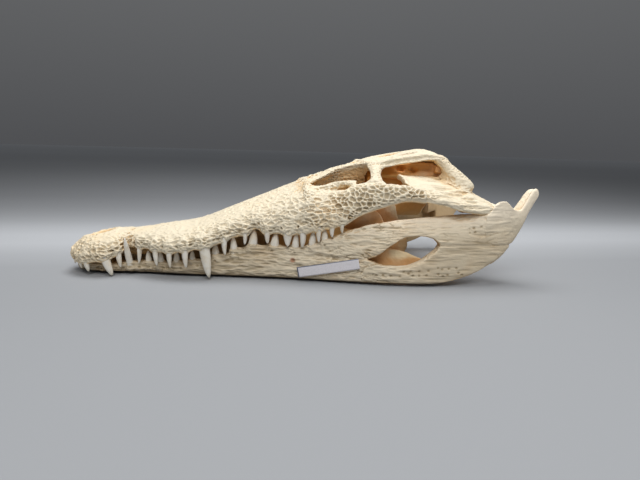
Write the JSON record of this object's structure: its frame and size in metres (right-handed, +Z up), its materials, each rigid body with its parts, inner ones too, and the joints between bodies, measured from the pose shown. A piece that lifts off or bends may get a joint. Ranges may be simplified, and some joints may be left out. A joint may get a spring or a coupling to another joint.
{
  "type": "crocodile skull",
  "caption": "Crocodile skull with its lower jaw closed, lying on the jaw, with a blank paper label on its left side.",
  "frame": {"origin": "on the floor under the middle of the skull's box", "axes": "+X from the snout to the back of the skull, +Y towards the animal's right, +Z up"},
  "size_m": [0.434, 0.165, 0.121],
  "materials": {
    "bone": "dry pale bone, matt",
    "inner_bone": "warm brown bone of the inner walls, matt",
    "teeth": "worn tooth enamel, satin",
    "label_paper": "matt paper"
  },
  "bodies": {
    "root": {"premaxilla": "bone", "frontal": "bone", "skull_table": "bone", "braincase": "inner_bone", "palatine": "inner_bone", "maxilla_left": "bone", "maxilla_right": "bone", "jugal_left": "bone", "jugal_right": "bone", "postorbital_left": "bone", "postorbital_right": "bone", "quadrate_left": "bone", "quadrate_right": "bone", "pterygoid_left": "inner_bone", "pterygoid_right": "inner_bone", "ectopterygoid_left": "inner_bone", "ectopterygoid_right": "inner_bone", "dentary_left": "bone", "dentary_right": "bone", "surangular_left": "bone", "surangular_right": "bone", "angular_left": "bone", "angular_right": "bone", "splenial_left": "inner_bone", "splenial_right": "inner_bone", "articular_left": "bone", "articular_right": "bone", "paper_label": "label_paper"}
  },
  "joints": []
}
